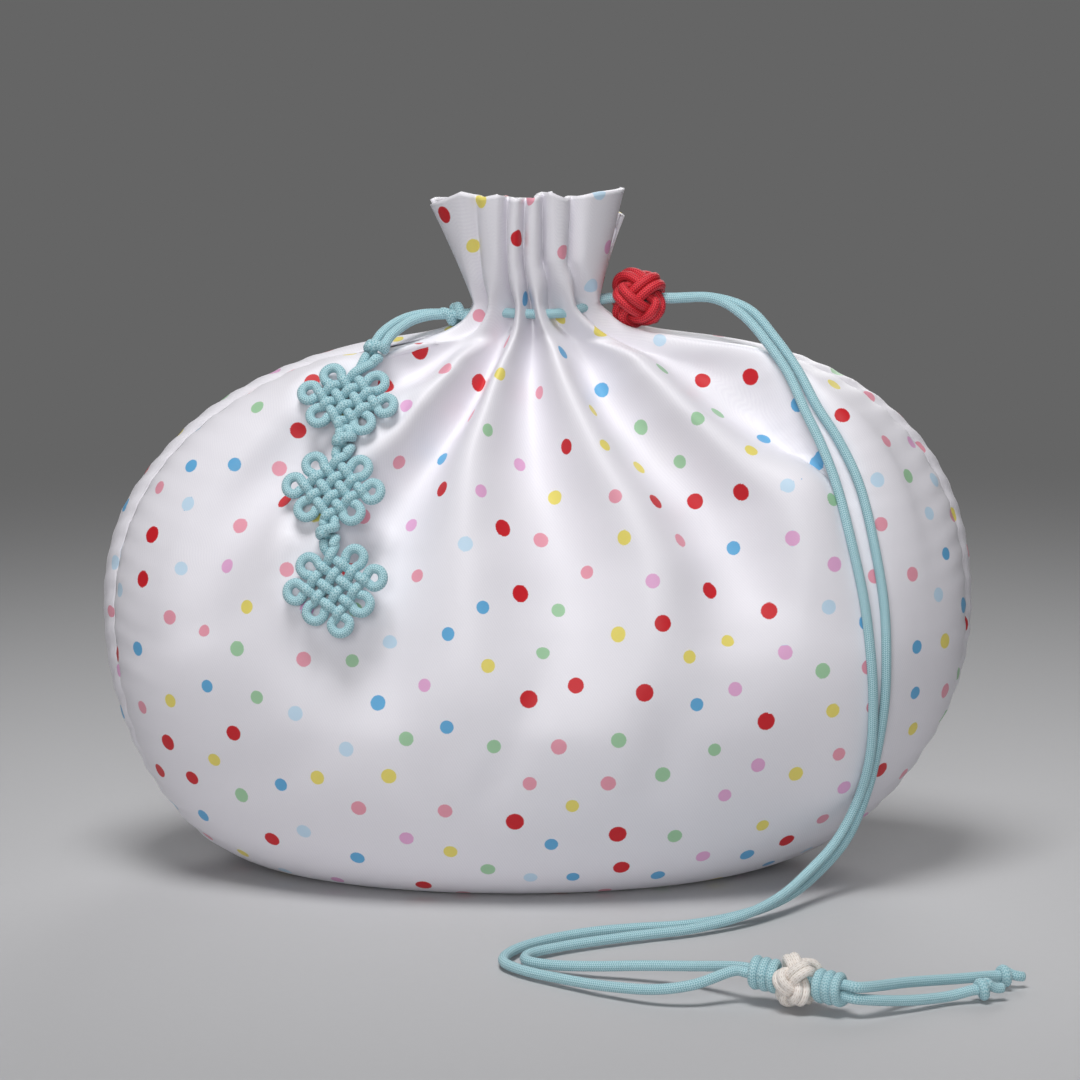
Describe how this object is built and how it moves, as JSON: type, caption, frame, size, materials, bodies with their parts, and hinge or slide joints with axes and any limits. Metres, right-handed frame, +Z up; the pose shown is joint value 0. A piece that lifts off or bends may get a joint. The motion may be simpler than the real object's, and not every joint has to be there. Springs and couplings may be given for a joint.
{
  "type": "drawstring pouch",
  "caption": "Plump round drawstring pouch of dotted satin, drawn shut to a pleated neck, with a knotted cord pendant, a ball knot slider and a doubled cord tail.",
  "frame": {"origin": "centre of the pouch's footprint on the surface it stands on, under the middle of the two panels", "axes": "+Z up, +X to the right along the width seen from the front, +Y to the back; the front faces -Y"},
  "size_m": [0.2, 0.1717, 0.1555],
  "materials": {
    "satin": "white satin with a small printed dot",
    "blue_cord": "matte braided cord",
    "red_cord": "matte braided cord",
    "ivory_cord": "twisted cord with a soft sheen"
  },
  "bodies": {
    "pouch": {"front_panel": "satin", "back_panel": "satin", "front_strand": "blue_cord", "back_strand": "blue_cord", "neck_knot": "blue_cord", "pendant_strand_front": "blue_cord", "pendant_strand_back": "blue_cord", "pendant_double_knot_1": "blue_cord", "pendant_double_knot_2": "blue_cord", "pendant_double_knot_3": "blue_cord", "chrysanthemum_knot_1": "blue_cord", "chrysanthemum_knot_2": "blue_cord", "chrysanthemum_knot_3": "blue_cord", "ivory_ball_knot": "ivory_cord", "tail_double_knot_upper": "blue_cord", "tail_double_knot_lower": "blue_cord", "end_strand_back": "blue_cord", "end_knot_back": "blue_cord", "end_strand_front": "blue_cord", "end_knot_front": "blue_cord"},
    "slider": {"red_ball_knot": "red_cord"}
  },
  "joints": [
    {"name": "slider_along_cord", "type": "slide", "parent": "pouch", "child": "slider", "axis": [1, 0, 0], "range_m": [0, 0.01]}
  ]
}
